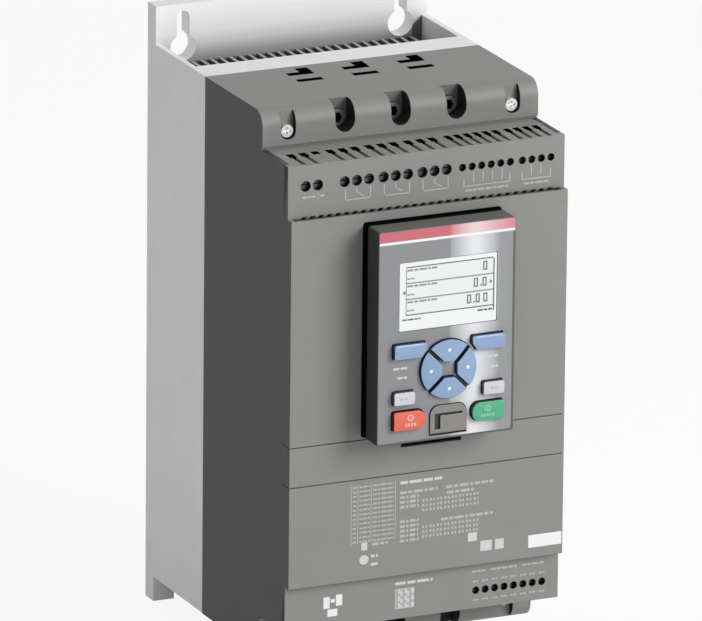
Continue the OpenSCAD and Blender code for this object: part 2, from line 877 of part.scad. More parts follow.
module terminal_block(h, drop, large, small) {
    difference() {
        union() {
            brick(-inner_x + fit, inner_x - fit, block_back, rim_d, -h, 0);
            brick(-half_w, half_w, rim_d, block_d, -h, 0);
        }
        for (x = large) {
            bar(x, -drop, block_d - well_depth, block_d + 1, large_well_d);
            terminal_pocket(x, large_pocket_w);
        }
        for (x = small) {
            bar(x, -drop, block_d - well_depth, block_d + 1, small_well_d);
            terminal_pocket(x, small_pocket_w);
        }
    }
}

module terminal_screws(places, drop, well_d) {
    floor_d = block_d - well_depth;
    for (x = places)
        difference() {
            bar(x, -drop, floor_d, floor_d + terminal_screw_t, well_d - 2 * fit);
            translate([x, -floor_d - terminal_screw_t, -drop])
                cube([well_d, 2.4, terminal_slot], center = true);
        }
}

module upper_terminal_block() {
    color(cover_grey)
        translate([0, 0, upper_ledge])
            difference() {
                union() {
                    terminal_block(upper_block_h, well_drop, large_x, small_x);
                    brick(-inner_x + fit, inner_x - fit, rim_d, block_d - lip_set,
                        -upper_block_h - lip_drop + fit, -upper_block_h);
                }
                brick(spare_x - large_pocket_w / 2, spare_x + large_pocket_w / 2, pocket_back,
                    pocket_back + spare_pocket_l, -pocket_depth, 1);
                for (i = [0:vent_n - 1])
                    translate([vent_shift + (i - (vent_n - 1) / 2) * vent_pitch, 0, 0])
                        brick(-vent_w / 2, vent_w / 2, block_d - vent_depth, block_d + 1,
                            -upper_block_h - lip_drop - 1, -upper_block_h + vent_h);
            }
}

module lower_terminal_block() {
    color(cover_grey)
        translate([0, 0, lower_ledge]) mirror([0, 0, 1]) terminal_block(lower_block_h, well_rise, [],
            lower_x);
}

module upper_terminal_screws() {
    color(steel)
        translate([0, 0, upper_ledge]) {
            terminal_screws(large_x, well_drop, large_well_d);
            terminal_screws(small_x, well_drop, small_well_d);
        }
}

module lower_terminal_screws() {
    color(steel)
        translate([0, 0, lower_ledge]) mirror([0, 0, 1]) terminal_screws(lower_x, well_rise, small_well_d);
}

// Front covers: a face with side rims that sit on the housing's cheeks
module front_tray(z0, z1) {
    slab(face_back, front_d) rect(-half_w, half_w, z0, z1);
    for (side = [-1, 1])
        brick(side > 0 ? inner_x : -half_w, side > 0 ? half_w : -inner_x, rim_d, face_back + 0.5, z0, z1);
}

module keypad_outline(grow) {
    translate([keypad_x, keypad_z])
        round_rect(keypad_w + 2 * grow, keypad_h + 2 * grow, keypad_r + grow);
}

module latch_recess() {
    translate([keypad_x + key_shift, 0])
        rect(-latch_w / 2, latch_w / 2, upper_seam - latch_h, keypad_z - keypad_h / 2);
}

module front_cover() {
    color(cover_grey)
        difference() {
            union() {
                front_tray(upper_seam + seam / 2, front_top);
                brick(-half_w, half_w, rim_d, front_d, front_top - wall, front_top);
            }
            slab(face_back - 1, front_d + 1) {
                keypad_outline(bay_clear);
                latch_recess();
            }
            brick(-inner_x, inner_x, rim_d - 1, front_d - lip_t, front_top - lip_drop, front_top + 1);
        }
}

module option_slot_cover() {
    color(cover_grey)
        difference() {
            front_tray(lower_seam + seam / 2, upper_seam - seam / 2);
            slab(face_back - 1, front_d + 1) latch_recess();
        }
}

module lower_front_cover() {
    color(cover_grey) front_tray(front_bottom, lower_seam - seam / 2);
}

module keypad_bay() {
    color(black_plastic)
        difference() {
            slab(bay_back, face_back) keypad_outline(bay_clear + bay_wall);
            slab(bay_floor, face_back + 1) keypad_outline(bay_clear);
            translate([keypad_x, 0, keypad_z + jack_z])
                brick(-jack_w / 2 - fit, jack_w / 2 + fit, bay_back - 1, bay_floor + 1,
                    -jack_h / 2 - fit, jack_h / 2 + fit);
        }
}

// Circuit boards with their larger components
module firing_board() {
    color(board_green) {
        brick(-inner_x + fit, inner_x - fit, firing_d, firing_d + board_t, firing_bottom, firing_top);
        for (x = phases) {
            brick(x - driver_w / 2, x + driver_w / 2, firing_front, firing_d + driver_t,
                firing_top - driver_drop,
                firing_top - driver_drop + driver_h);
            brick(x - snubber / 2, x + snubber / 2, firing_front, firing_d + driver_t,
                firing_bottom + driver_drop,
                firing_bottom + driver_drop + snubber);
        }
    }
}

module control_board() {
    color(board_green) {
        brick(-inner_x + fit, inner_x - fit, control_d, control_d + board_t, control_bottom, control_top);
        for (i = [0:2])
            translate([-inner_x + part_inset + i * relay_pitch, 0, control_top - part_drop])
                brick(0, relay_w, control_front, control_d + relay_t, -relay_h, 0);
        for (i = [0:1])
            bar(inner_x - part_inset - i * cap_pitch, control_top - part_drop, control_front,
                control_d + cap_t, cap_d);
        brick(-chip / 2, chip / 2, control_front, control_d + chip_t, control_bottom + part_drop,
            control_bottom + part_drop + chip);
        brick(inner_x - part_inset - header_w, inner_x - part_inset, control_front, control_d + header_t,
            control_bottom + header_rise, control_bottom + header_rise + header_h);
    }
}

module keypad_socket() {
    color(black_plastic)
        translate([keypad_x, 0, keypad_z + jack_z])
            difference() {
                brick(-jack_w / 2, jack_w / 2, control_d + board_t, bay_floor - 0.1, -jack_h / 2, jack_h / 2);
                brick(-jack_w / 2 + jack_wall, jack_w / 2 - jack_wall, control_d + board_t + 2, bay_floor + 1,
                    -jack_h / 2 + jack_wall, jack_h / 2 - jack_wall);
            }
}

// Keypad, around its own middle
module in_keypad() {
    translate([keypad_x, 0, keypad_z]) children();
}

// The keys and the display, around the middle of the key columns
module in_keys() {
    translate([keypad_x + key_shift, 0, keypad_z]) children();
}

module keypad_section(inset) {
    round_rect(keypad_w - 2 * inset, keypad_h - 2 * inset, max(0.4, keypad_r - inset));
}

module window_outline(grow) {
    translate([0, window_z]) round_rect(window_w + 2 * grow, window_h + 2 * grow, 0.6);
}

// Key outlines, grown by the clearance for their holes and by the flange behind the bezel
module soft_key_outline(side, grow) {
    difference() {
        translate([side * (side_key_x - soft_key_w / 2), soft_key_z])
            round_rect(soft_key_w + 2 * grow, soft_key_h + 2 * grow, key_r);
        translate([0, dpad_z]) circle(dpad_r + dpad_gap - grow);
    }
}

module dpad_outline(angle, grow) {
    apex = (dpad_gap / 2 - grow) * sqrt(2);
    reach = 2 * dpad_r;
    translate([0, dpad_z]) rotate(angle)
        intersection() {
            circle(dpad_r + grow);
            polygon([[0, apex], [reach, apex + reach], [-reach, apex + reach]]);
            rect(-reach, reach, dpad_hub / 2 - grow, reach);
        }
}

module small_key_outline(side, grow) {
    translate([side * (side_key_x - small_key_w / 2), small_key_z])
        round_rect(small_key_w + 2 * grow, small_key_h + 2 * grow, key_r);
}

module run_key_outline(side, grow) {
    w = run_key_w + 2 * grow;
    h = run_key_h + 2 * grow;
    translate([side * (side_key_x - run_key_w / 2), run_key_z])
        intersection() {
            round_rect(w, h, key_r);
            translate([side * run_end_r, 0]) round_rect(w + 2 * run_end_r, h, run_end_r);
        }
}

// Flap outline, grown by one gap on its sides and its top and another one under its hinge
module flap_outline(gap, hinge_gap) {
    w = flap_w + 2 * gap;
    top = flap_bottom + flap_h + gap;
    translate([flap_x, 0]) {
        rect(-w / 2, w / 2, flap_bottom - hinge_gap, top - flap_r);
        rect(-w / 2 + flap_r, w / 2 - flap_r, flap_bottom, top);
        for (side = [-1, 1])
            translate([side * (w / 2 - flap_r), top - flap_r]) circle(flap_r);
    }
}

module keypad_openings(grow) {
    translate([key_shift, 0]) {
        window_outline(fit);
        for (side = [-1, 1]) {
            soft_key_outline(side, grow);
            small_key_outline(side, grow);
            run_key_outline(side, grow);
        }
        for (angle = [0:90:270])
            dpad_outline(angle, grow);
        flap_outline(fit, flap_hinge_gap);
    }
}

module flap_pins(diameter, reach) {
    translate([flap_x - reach, -flap_pin_depth, flap_pin_z]) rotate([0, 90, 0]) cylinder(d = diameter,
        h = 2 * reach);
}

module keypad_shell() {
    color(black_plastic)
        in_keypad() {
            difference() {
                slab(shell_back, shell_front) keypad_section(fit);
                slab(shell_back + keypad_wall, shell_front + 1) keypad_section(fit + keypad_wall);
            }
            for (sx = [-1, 1], sz = [-1, 1])
                bar(sx * (keypad_w / 2 - post_inset), sz * (keypad_h / 2 - post_inset),
                    shell_back + keypad_wall - 0.5,
                    board_back, post_d);
        }
}

module keypad_bezel() {
    pin_reach = flap_w / 2 + flap_pin_l;
    color(olive_grey)
        in_keypad()
            difference() {
                slab(shell_front, bezel_front) keypad_section(0);
                slab(shell_front - 1, bezel_back) keypad_section(keypad_wall);
                slab(bezel_back - 1, bezel_front + 1) keypad_openings(key_clear);
                translate([key_shift, 0, 0]) flap_pins(flap_pin_d + 2 * pin_clear, pin_reach);
            }
}

module keypad_overlay() {
    color(silver_film)
        in_keypad()
            slab(bezel_front, keypad_d)
                difference() {
                    keypad_section(overlay_margin);
                    keypad_openings(key_clear);
                }
}

module display_window() {
    color(white_panel)
        in_keys() slab(bezel_back - 0.1, keypad_d - 0.2) window_outline(0);
}

module display_module() {
    color(steel)
        in_keys() slab(board_front, board_front + lcd_t)
            translate([0, window_z]) round_rect(window_w + 6, window_h + 5, 1);
}

module keypad_board() {
    color(board_green)
        in_keypad() slab(board_back, board_front) keypad_section(keypad_wall + fit);
}

module key_mat() {
    mat_w = 2 * side_key_x + 4;
    mat_top = soft_key_z + soft_key_h / 2 + 0.5;
    mat_bottom = small_key_z - small_key_h / 2;
    dome_d = 5;
    run_x = side_key_x - run_key_w / 2;
    color(light_key)
        in_keys() {
            slab(board_front, board_front + mat_t) {
                rect(-mat_w / 2, mat_w / 2, mat_bottom, mat_top);
                for (side = [-1, 1])
                    rect(side * run_x - 8, side * run_x + 8, run_key_z - 4, mat_bottom + 1);
            }
            for (side = [-1, 1]) {
                bar(side * (side_key_x - soft_key_w / 2 + 2), soft_key_z, board_front + mat_t, dome_front,
                    dome_d);
                bar(side * (side_key_x - small_key_w / 2), small_key_z, board_front + mat_t, dome_front,
                    dome_d);
                bar(side * run_x, run_key_z, board_front + mat_t, dome_front, dome_d);
                bar(side * dpad_r * 0.66, dpad_z, board_front + mat_t, dome_front, dome_d);
                bar(0, dpad_z + side * dpad_r * 0.66, board_front + mat_t, dome_front, dome_d);
            }
        }
}

module usb_socket() {
    socket_z = flap_bottom + flap_h / 2 - 1;
    color(steel)
        in_keys()
            translate([0, 0, socket_z])
                difference() {
                    brick(-4.6, 4.6, board_front, bezel_back - 0.1, -2.6, 2.6);
                    brick(-3.8, 3.8, board_front + 1, bezel_back + 1, -1.9, 1.9);
                    brick(-4.8, 4.8, bezel_back - 2, bezel_back + 1, -2.8, -1.2);
                }
}

module keypad_plug() {
    color(light_key)
        in_keypad()
            translate([0, 0, jack_z])
                brick(-jack_w / 2 + jack_wall + fit, jack_w / 2 - jack_wall - fit,
                    control_d + board_t + 2.5, shell_back,
                    -jack_h / 2 + jack_wall + fit, jack_h / 2 - jack_wall - fit);
}

// A key: its cap with a crowned top and the flange that holds it behind the bezel
module key_cap(crown_x, crown_z, crown_r, along_x) {
    intersection() {
        slab(key_back, key_d) children(0);
        translate([crown_x, -key_d + crown_r, crown_z])
            if (along_x)
                rotate([0, 90, 0]) cylinder(r = crown_r, h = 4 * keypad_w, center = true, $fn = 96);
            else
                sphere(r = crown_r, $fn = 200);
    }
    slab(flange_front - flange_t, flange_front) children(1);
}

module soft_key(side) {
    color(key_blue)
        in_keys()
            key_cap(0, soft_key_z, key_crown_r, true) {
                soft_key_outline(side, 0);
                soft_key_outline(side, key_flange);
            }
}

module dpad_key(angle) {
    color(key_blue)
        in_keys()
            key_cap(0, dpad_z, dpad_crown_r, false) {
                dpad_outline(angle, 0);
                dpad_outline(angle, key_flange);
            }
}

module small_key(side) {
    color(light_key)
        in_keys()
            key_cap(0, small_key_z, key_crown_r, true) {
                small_key_outline(side, 0);
                small_key_outline(side, key_flange);
            }
}

module run_key(side, tone) {
    color(tone)
        in_keys()
            key_cap(0, run_key_z, key_crown_r, true) {
                run_key_outline(side, 0);
                run_key_outline(side, key_flange);
            }
}

module soft_key_left() {
    soft_key(-1);
}

module soft_key_right() {
    soft_key(1);
}

module key_up() {
    dpad_key(0);
}

module key_left() {
    dpad_key(90);
}

module key_down() {
    dpad_key(180);
}

module key_right() {
    dpad_key(270);
}

module local_key() {
    small_key(-1);
}

module help_key() {
    small_key(1);
}

module stop_key() {
    run_key(-1, stop_red);
}

module start_key() {
    run_key(1, start_green);
}

// Flap over the service port, on two pins at its foot, which is rounded about them
module usb_flap() {
    color(flap_grey)
        in_keys() {
            difference() {
                intersection() {
                    slab(flap_back, flap_front) flap_outline(0, 0);
                    across(flap_x - flap_w, flap_x + flap_w) {
                        rect(flap_back - 1, flap_front + 1, flap_pin_z, flap_pin_z + flap_h);
                        translate([flap_pin_depth, flap_pin_z]) circle(flap_barrel_r);
                    }
                }
                slab(flap_front - grip_depth, flap_front + 1)
                    translate([flap_x - grip_w / 2, flap_bottom + grip_rise]) {
                        rect(0, grip_side, 0, grip_h);
                        rect(0, grip_w, grip_h - grip_top, grip_h);
                    }
            }
            flap_pins(flap_pin_d, flap_w / 2 + flap_pin_l - 0.2);
        }
}

heat_sink();
fan_tray();
fan_wheel_left();
fan_wheel_right();
housing();
line_terminal_cover();
motor_terminal_cover();
cover_screws();
upper_terminal_block();
lower_terminal_block();
upper_terminal_screws();
lower_terminal_screws();
front_cover();
option_slot_cover();
lower_front_cover();
keypad_bay();
line_lugs();
motor_lugs();
line_lug_screws();
motor_lug_screws();
line_busbars();
motor_busbars();
busbar_screws();
power_modules();
bypass_contactors();
current_transformers();
firing_board();
control_board();
keypad_socket();
keypad_shell();
keypad_bezel();
keypad_overlay();
display_window();
display_module();
keypad_board();
key_mat();
usb_socket();
keypad_plug();
soft_key_left();
soft_key_right();
key_up();
key_down();
key_left();
key_right();
local_key();
help_key();
stop_key();
start_key();
usb_flap();
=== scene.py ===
import math
from collections import namedtuple

import bpy
from mathutils import Matrix, Vector


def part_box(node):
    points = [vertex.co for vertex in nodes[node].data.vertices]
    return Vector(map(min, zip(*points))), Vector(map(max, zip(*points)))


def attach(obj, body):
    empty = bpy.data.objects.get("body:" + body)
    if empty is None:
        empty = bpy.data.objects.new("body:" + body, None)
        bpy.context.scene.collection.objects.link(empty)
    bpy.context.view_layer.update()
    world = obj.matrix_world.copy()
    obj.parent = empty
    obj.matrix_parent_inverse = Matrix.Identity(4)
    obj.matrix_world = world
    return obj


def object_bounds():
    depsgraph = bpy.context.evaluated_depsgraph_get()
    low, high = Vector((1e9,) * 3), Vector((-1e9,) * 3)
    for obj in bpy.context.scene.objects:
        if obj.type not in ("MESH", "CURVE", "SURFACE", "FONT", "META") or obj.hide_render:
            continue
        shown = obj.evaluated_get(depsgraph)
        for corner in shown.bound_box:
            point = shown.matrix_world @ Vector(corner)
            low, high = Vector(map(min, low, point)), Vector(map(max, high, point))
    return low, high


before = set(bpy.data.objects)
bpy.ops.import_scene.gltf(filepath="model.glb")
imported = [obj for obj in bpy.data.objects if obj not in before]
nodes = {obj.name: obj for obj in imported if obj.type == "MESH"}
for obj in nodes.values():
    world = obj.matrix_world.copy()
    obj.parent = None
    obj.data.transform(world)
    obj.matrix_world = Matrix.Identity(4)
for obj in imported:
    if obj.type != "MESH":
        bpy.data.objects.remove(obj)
start_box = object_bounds()
scene = bpy.context.scene
MM = 0.001

Sides = namedtuple("Sides", "left right back front foot head")
Place = namedtuple("Place", "x depth z")


def sides(name):
    """A node's sides in mm, with back and front as depths from the wall."""
    low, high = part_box(name)
    return Sides(low.x / MM, high.x / MM, -high.y / MM, -low.y / MM, low.z / MM, high.z / MM)


def middle(name):
    """The middle of a node's front in mm: x, z."""
    s = sides(name)
    return (s.left + s.right) / 2, (s.foot + s.head) / 2


sink = sides("heat_sink")
fan_tray = sides("fan_tray")
line_cover = sides("line_terminal_cover")
motor_cover = sides("motor_terminal_cover")
upper_block = sides("upper_terminal_block")
lower_block = sides("lower_terminal_block")
label_cover = sides("lower_front_cover")
film_sides = sides("keypad_overlay")
window = sides("display_window")
flap_sides = sides("usb_flap")


# Materials

# Noise: patches to the metre, the range that most values lie in, and the spread of the gloss
GRAIN_PER_M = 2500.0
MOTTLE_PER_M = 45.0
NOISE_LOW, NOISE_HIGH = 0.35, 0.65
ROUGHNESS_SPREAD = 0.012
COAT_ROUGHNESS = 0.15
# Relief: depths of the grain and radius of the softened edges
FINE_GRAIN = 0.01 * MM
MOULD_GRAIN = 0.04 * MM
CAST_GRAIN = 0.05 * MM
BUMP_STRENGTH = 0.25
EDGE = 0.5 * MM
EDGE_SAMPLES = 6


def linear(rgb):
    """Scene-linear colour of an 8-bit screen colour."""
    out = []
    for v in rgb:
        c = min(v / 255, 1.0)
        out.append(c / 12.92 if c <= 0.04045 else ((c + 0.055) / 1.055) ** 2.4)
    return (*out, 1.0)


def noise(tree, scale, detail):
    """Noise value over the object's own coordinates."""
    coords = tree.nodes.new("ShaderNodeTexCoord")
    node = tree.nodes.new("ShaderNodeTexNoise")
    node.inputs["Scale"].default_value = scale
    node.inputs["Detail"].default_value = detail
    tree.links.new(coords.outputs["Object"], node.inputs["Vector"])
    return node.outputs["Fac"]


def mapped(tree, value, low, high, to_low=0.0, to_high=1.0):
    """A value mapped from one range to another."""
    node = tree.nodes.new("ShaderNodeMapRange")
    node.inputs["From Min"].default_value = low
    node.inputs["From Max"].default_value = high
    node.inputs["To Min"].default_value = to_low
    node.inputs["To Max"].default_value = to_high
    tree.links.new(value, node.inputs["Value"])
    return node.outputs["Result"]


def colour_ramp(tree, value, stops):
    """Colour over a value: stops of (place from 0 to 1, screen colour)."""
    node = tree.nodes.new("ShaderNodeValToRGB")
    points = node.color_ramp.elements
    while len(points) < len(stops):
        points.new(0.5)
    for point, (place, rgb) in zip(points, stops):
        point.position = place
        point.color = linear(rgb)
    tree.links.new(value, node.inputs["Fac"])
    return node.outputs["Color"]


def surface(name, roughness, metallic=0.0, specular=0.5, grain=0.0, edge=0.0, coat=0.0):
    """Shader of a finish without its colour: uneven gloss, a fine moulded grain and softened edges."""
    mat = bpy.data.materials.new(name)
    mat.use_nodes = True
    tree = mat.node_tree
    shader = tree.nodes["Principled BSDF"]
    shader.inputs["Metallic"].default_value = metallic
    shader.inputs["Specular IOR Level"].default_value = specular
    shader.inputs["Coat Weight"].default_value = coat
    shader.inputs["Coat Roughness"].default_value = COAT_ROUGHNESS
    uneven = noise(tree, MOTTLE_PER_M, detail=2.0)
    least, most = roughness - ROUGHNESS_SPREAD, roughness + ROUGHNESS_SPREAD
    tree.links.new(mapped(tree, uneven, NOISE_LOW, NOISE_HIGH, least, most), shader.inputs["Roughness"])
    normal = None
    if edge:
        soft = tree.nodes.new("ShaderNodeBevel")
        soft.samples = EDGE_SAMPLES
        soft.inputs["Radius"].default_value = edge
        normal = soft.outputs["Normal"]
    if grain:
        bump = tree.nodes.new("ShaderNodeBump")
        bump.inputs["Strength"].default_value = BUMP_STRENGTH
        bump.inputs["Distance"].default_value = grain
        tree.links.new(noise(tree, GRAIN_PER_M, detail=3.0), bump.inputs["Height"])
        if normal is not None:
            tree.links.new(normal, bump.inputs["Normal"])
        normal = bump.outputs["Normal"]
    if normal is not None:
        tree.links.new(normal, shader.inputs["Normal"])
    return mat


def material(name, rgb, roughness, mottle=0.008, **looks):
    """Finish of one colour, with a slow change of tone by a share of it either way."""
    mat = surface(name, roughness, **looks)
    tree = mat.node_tree
    tones = [(end, [v * (1 + mottle * (2 * end - 1)) for v in rgb]) for end in (0, 1)]
    patches = mapped(tree, noise(tree, MOTTLE_PER_M, detail=4.0), NOISE_LOW, NOISE_HIGH)
    tree.links.new(colour_ramp(tree, patches, tones), tree.nodes["Principled BSDF"].inputs["Base Color"])
    return mat


def banded(name, axis, stops, roughness, **looks):
    """Finish whose colour runs along an axis: stops of (place in mm, screen colour)."""
    mat = surface(name, roughness, **looks)
    tree = mat.node_tree
    first, last = stops[0][0], stops[-1][0]
    split = tree.nodes.new("ShaderNodeSeparateXYZ")
    tree.links.new(tree.nodes.new("ShaderNodeTexCoord").outputs["Object"], split.inputs["Vector"])
    along = mapped(tree, split.outputs[axis], first * MM, last * MM)
    colour = colour_ramp(tree, along, [((place - first) / (last - first), rgb) for place, rgb in stops])
    tree.links.new(colour, tree.nodes["Principled BSDF"].inputs["Base Color"])
    return mat


def grey(v):
    return (v, v, v)


def painted_sheen(dark, bright, shares):
    """Stops of a painted sheen between a dark and a bright colour: shares of (place in mm, share of the
    bright one).
    """
    return [(place, [d + (b - d) * share for d, b in zip(dark, bright)]) for place, share in shares]


# Metal
cast = material("aluminium", (246, 246, 248), 0.5, metallic=0.1, grain=CAST_GRAIN, edge=EDGE)
# Plate front: its colour darkens towards the fins, painted shade
plate_painted_shade = [(124, grey(124)), (130, grey(160)), (136, grey(214)), (142, grey(240)), (154, grey(253))]
plate = banded("plate", "Z", plate_painted_shade, 0.5, metallic=0.1, grain=CAST_GRAIN)
# Fin sides and fin ends: darker copies of the aluminium, painted shade
fin = material("fin", (104, 104, 107), 0.5, metallic=0.15, grain=FINE_GRAIN)
fin_end = material("fin_end", (176, 176, 178), 0.5, metallic=0.1, grain=FINE_GRAIN)
steel = material("steel", (236, 236, 238), 0.3, metallic=0.7, grain=FINE_GRAIN)
# Darker copies of the steel for lugs and screws that sit in shade: painted shade
dark_steel_painted_shade = material("dark_steel_painted_shade", (40, 40, 42), 0.4, metallic=0.6, grain=FINE_GRAIN)
screw_steel_painted_shade = material("screw_steel_painted_shade", (112, 112, 113), 0.5, metallic=0.2, grain=FINE_GRAIN)
lug_steel_painted_shade = material("lug_screw_steel_painted_shade", (134, 134, 135), 0.5, metallic=0.2, grain=FINE_GRAIN)
copper = material("copper", (196, 130, 92), 0.3, metallic=0.9, mottle=0.04, grain=FINE_GRAIN)

# Housing, covers and boards
# Housing plastic: the plastic darkened, painted shade; it is also put on the covers' outer side faces
housing = material("housing_plastic", (57, 58, 57), 0.55, mottle=0.005, specular=0.38, grain=MOULD_GRAIN,
                   edge=EDGE)
cover = material("cover_plastic", (138, 138, 135), 0.52, grain=MOULD_GRAIN, edge=EDGE)
terminal_cover = material("terminal_cover_plastic", (131, 131, 128), 0.52, grain=MOULD_GRAIN, edge=EDGE)
# Black plastic; also put in cable entries, conductor pockets and behind lug screw heads as painted shade
black_and_painted_shade = material("black_plastic", grey(6), 0.7, specular=0.02, grain=FINE_GRAIN)
# Recess walls, the motor cover's slot floors and the line cover's slot floors: painted shade
recess = material("recess", (34, 34, 33), 0.6, specular=0.2, grain=FINE_GRAIN)
slot_floor_painted_shade = material("slot_floor_painted_shade", (106, 106, 104), 0.55, grain=MOULD_GRAIN)
board = material("board", (26, 92, 62), 0.45, mottle=0.04, grain=FINE_GRAIN)

# Keypad: the film's silver has an upright band of painted sheen, and so does the stripe on it
bezel = material("bezel_plastic", (88, 89, 85), 0.4, grain=FINE_GRAIN, edge=EDGE)
# Sides of the bezel: painted shade
bezel_side_painted_shade = material("bezel_plastic_side_painted_shade", (48, 50, 46), 0.4, grain=FINE_GRAIN)
film_painted_sheen = [(-36, 0), (2.6, 0), (3.6, 0.3), (10, 0.76), (15, 1), (18, 1), (26, 0.54), (30, 0.13),
              (38, 0.08)]
film_painted_sheen_stops = painted_sheen((140, 141, 143), (227, 228, 231), film_painted_sheen)
film = banded("overlay_film", "X", film_painted_sheen_stops, 0.35, grain=FINE_GRAIN)
# Rim along the film's right and lower edges: painted shade
film_rim_painted_shade = material("film_rim_painted_shade", (92, 92, 90), 0.4, grain=FINE_GRAIN)
stripe_painted_sheen = [(-36, 0), (2.6, 0), (3.6, 0.28), (10, 0.78), (15, 1), (18, 0.98), (26, 0.69), (38, 0.25)]
stripe_painted_sheen_stops = painted_sheen((202, 106, 115), (236, 208, 212), stripe_painted_sheen)
stripe = banded("red_stripe_painted_sheen", "X", stripe_painted_sheen_stops, 0.35, grain=FINE_GRAIN)
glass = material("display_glass", (240, 242, 242), 0.12, mottle=0.003, coat=0.3)
panel = material("display_panel", (200, 204, 204), 0.4)
screen = material("display_screen", (234, 236, 235), 0.3, mottle=0.003)
ink = material("display_ink", (96, 98, 100), 0.4)
soft_ink = material("display_soft_ink", (146, 148, 148), 0.4)

# Keys and flap, with painted shade on their flanks
blue = material("blue_key", (142, 166, 201), 0.3, grain=FINE_GRAIN, edge=EDGE)
blue_side_painted_shade = material("blue_key_side_painted_shade", (34, 52, 88), 0.4, grain=FINE_GRAIN)
key_dot = material("key_dot", (228, 240, 252), 0.35)
# Upper edge of the soft keys: painted highlight
key_painted_highlight = material("key_painted_highlight", (186, 205, 234), 0.3)
key_gap = material("key_gap", (36, 50, 84), 0.5, grain=FINE_GRAIN)
pale = material("light_key", (208, 207, 217), 0.35, grain=FINE_GRAIN, edge=EDGE)
pale_side_painted_shade = material("light_key_side_painted_shade", (78, 78, 80), 0.4, grain=FINE_GRAIN)
red = material("red_key", (226, 106, 86), 0.35, grain=FINE_GRAIN, edge=EDGE)
red_side_painted_shade = material("red_key_side_painted_shade", (92, 16, 10), 0.4, grain=FINE_GRAIN)
red_mark = material("red_key_mark", (252, 176, 164), 0.4)
green = material("green_key", (82, 172, 134), 0.35, grain=FINE_GRAIN, edge=EDGE)
green_side_painted_shade = material("green_key_side_painted_shade", (4, 48, 32), 0.4, grain=FINE_GRAIN)
green_mark = material("green_key_mark", (138, 204, 178), 0.4)
flap = material("flap_rubber", (134, 132, 127), 0.5, grain=MOULD_GRAIN, edge=EDGE)
flap_side_painted_shade = material("flap_rubber_side_painted_shade", (58, 56, 52), 0.5, grain=FINE_GRAIN)

# Print on the covers
white_print = material("white_print", (241, 242, 242), 0.5, specular=0.3)
pale_print = material("pale_print", (208, 209, 208), 0.5)
grey_print = material("grey_print", (184, 184, 182), 0.5)
code_print = material("code_print", (166, 166, 164), 0.5)

finishes = {
    cast: ["heat_sink"],
    housing: ["housing", "bypass_contactors"],
    terminal_cover: ["line_terminal_cover", "motor_terminal_cover"],
    cover: ["upper_terminal_block", "lower_terminal_block", "front_cover", "option_slot_cover",
            "lower_front_cover"],
    black_and_painted_shade: ["fan_tray", "fan_wheel_left", "fan_wheel_right", "keypad_bay", "power_modules",
            "current_transformers", "keypad_socket", "keypad_shell"],
    bezel: ["keypad_bezel"],
    film: ["keypad_overlay"],
    glass: ["display_window"],
    panel: ["display_module"],
    board: ["firing_board", "control_board", "keypad_board"],
    blue: ["soft_key_left", "soft_key_right", "key_up", "key_down", "key_left", "key_right"],
    pale: ["local_key", "help_key", "keypad_plug"],
    key_gap: ["key_mat"],
    red: ["stop_key"],
    green: ["start_key"],
    flap: ["usb_flap"],
    steel: ["cover_screws", "busbar_screws", "usb_socket"],
    dark_steel_painted_shade: ["line_lugs", "motor_lugs"],
    screw_steel_painted_shade: ["upper_terminal_screws", "lower_terminal_screws"],
    lug_steel_painted_shade: ["line_lug_screws", "motor_lug_screws"],
    copper: ["line_busbars", "motor_busbars"],
}
for mat, names in finishes.items():
    for name in names:
        nodes[name].data.materials.clear()
        nodes[name].data.materials.append(mat)


# Faces with a finish of their own, each of them painted shade: n is a face's normal, c the place of its
# centre in mm

# Nearness in mm, and shares of a normal along an axis
TOUCH = 0.1
SLIGHTLY, MOSTLY, SQUARELY = 0.05, 0.5, 0.9


def face_finish(name, mat, wanted, *where):
    """Gives a finish to those faces of a node for which wanted(n, c, *where) holds."""
    mesh = nodes[name].data
    mesh.materials.append(mat)
    for face in mesh.polygons:
        c = face.center / MM
        if wanted(face.normal, Place(c.x, -c.y, c.z), *where):
            face.material_index = len(mesh.materials) - 1


outer_x = sink.right - 0.5


def on_flank(n, c):
    return abs(n.y) < MOSTLY


def on_outside(n, c):
    return abs(n.x) > SQUARELY and abs(c.x) > outer_x


# Outer side faces of the covers get the darker housing plastic: painted shade
for name in finishes[cover] + finishes[terminal_cover]:
    face_finish(name, housing, on_outside)
# Flanks of the keys: painted shade
for names, mat in ((finishes[blue], blue_side_painted_shade), (["local_key", "help_key"], pale_side_painted_shade),
                   (finishes[red], red_side_painted_shade), (finishes[green], green_side_painted_shade)):
    for name in names:
        face_finish(name, mat, on_flank)
# Bezel sides: painted shade
face_finish("keypad_bezel", bezel_side_painted_shade, lambda n, c: abs(n.x) > MOSTLY)

# Flap: painted shade on its flanks and on the floor of its finger notch
notch_back, notch_front = flap_sides.back + 0.4, flap_sides.front - 0.3


def on_flap_side(n, c):
    return on_flank(n, c) or (n.y < -MOSTLY and notch_back < c.depth < notch_front)


face_finish("usb_flap", flap_side_painted_shade, on_flap_side)

# Heat sink: painted shade on the sides and ends of its fins, and on the plate's front, which darkens
# towards the fins
plate_t, ear_h = 10.0, 30.0
fins_foot, fins_head = fan_tray.head + 1.5, sink.head - ear_h
fins_half_w, fins_back, fins_front = fan_tray.right + 0.2, plate_t - 0.2, fan_tray.front + 0.5
shade_foot, plate_play = fins_head - 7, 2


def in_chamber(c):
    return abs(c.x) < fins_half_w and fins_back < c.depth < fins_front and fins_foot < c.z < fins_head


def on_plate(n, c):
    return n.y < -SQUARELY and abs(c.depth - plate_t) < plate_play and c.z > shade_foot


